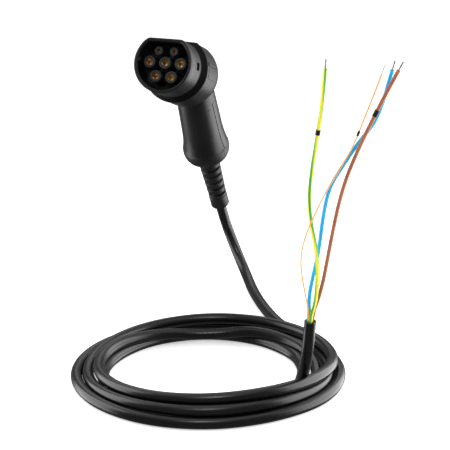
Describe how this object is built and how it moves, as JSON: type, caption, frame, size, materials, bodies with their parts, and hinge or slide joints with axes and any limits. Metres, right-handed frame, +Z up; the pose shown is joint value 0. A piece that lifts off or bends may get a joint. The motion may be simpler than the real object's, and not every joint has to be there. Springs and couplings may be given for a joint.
{
  "type": "ev charging cable",
  "caption": "Electric car charging cable: a round angled coupler with a flat-topped face on a loose coil of round cable, whose cut end shows bare cores.",
  "frame": {"origin": "middle of the coil, on the floor", "axes": "+Z up; the coupler's mid plane is parallel to YZ and its mouth looks towards -Y and up"},
  "size_m": [0.335, 0.4445, 0.3456],
  "materials": {
    "housing_plastic": "fine matt texture",
    "carrier_plastic": "satin",
    "boot_plastic": "satin",
    "contact_metal": "gold plated, polished",
    "screw_steel": "zinc plated",
    "relief_rubber": "matt",
    "cable_rubber": "satin sheath",
    "tinned_copper": "tinned copper strand",
    "marker_sleeve": "satin",
    "core_brown": "satin",
    "core_blue": "satin",
    "core_green_yellow": "satin, green with a yellow stripe",
    "core_orange": "satin"
  },
  "bodies": {
    "root": {"nose_shell": "housing_plastic", "contact_carrier": "carrier_plastic", "contact_pe": "contact_metal", "contact_n": "contact_metal", "contact_l1": "contact_metal", "contact_l2": "contact_metal", "contact_l3": "contact_metal", "contact_cp": "contact_metal", "contact_pp": "contact_metal", "contact_retainer": "carrier_plastic", "retainer_screws": "screw_steel", "main_housing": "housing_plastic", "rear_cover": "housing_plastic", "end_boot": "boot_plastic", "strain_relief": "relief_rubber", "cable_entry": "cable_rubber", "cable_clamp": "carrier_plastic", "lead_brown": "core_brown", "lead_blue": "core_blue", "lead_green_yellow": "core_green_yellow", "lead_pilot": "core_orange", "cable_coil": "cable_rubber", "cable_rise": "cable_rubber", "cable_tail": "cable_rubber", "core_green_yellow": "core_green_yellow", "stripped_end_green_yellow": "tinned_copper", "core_orange": "core_orange", "stripped_end_orange": "tinned_copper", "core_blue": "core_blue", "stripped_end_blue": "tinned_copper", "core_brown": "core_brown", "stripped_end_brown": "tinned_copper", "marker_green_yellow": "marker_sleeve", "marker_orange": "marker_sleeve", "marker_brown": "marker_sleeve"}
  },
  "joints": []
}
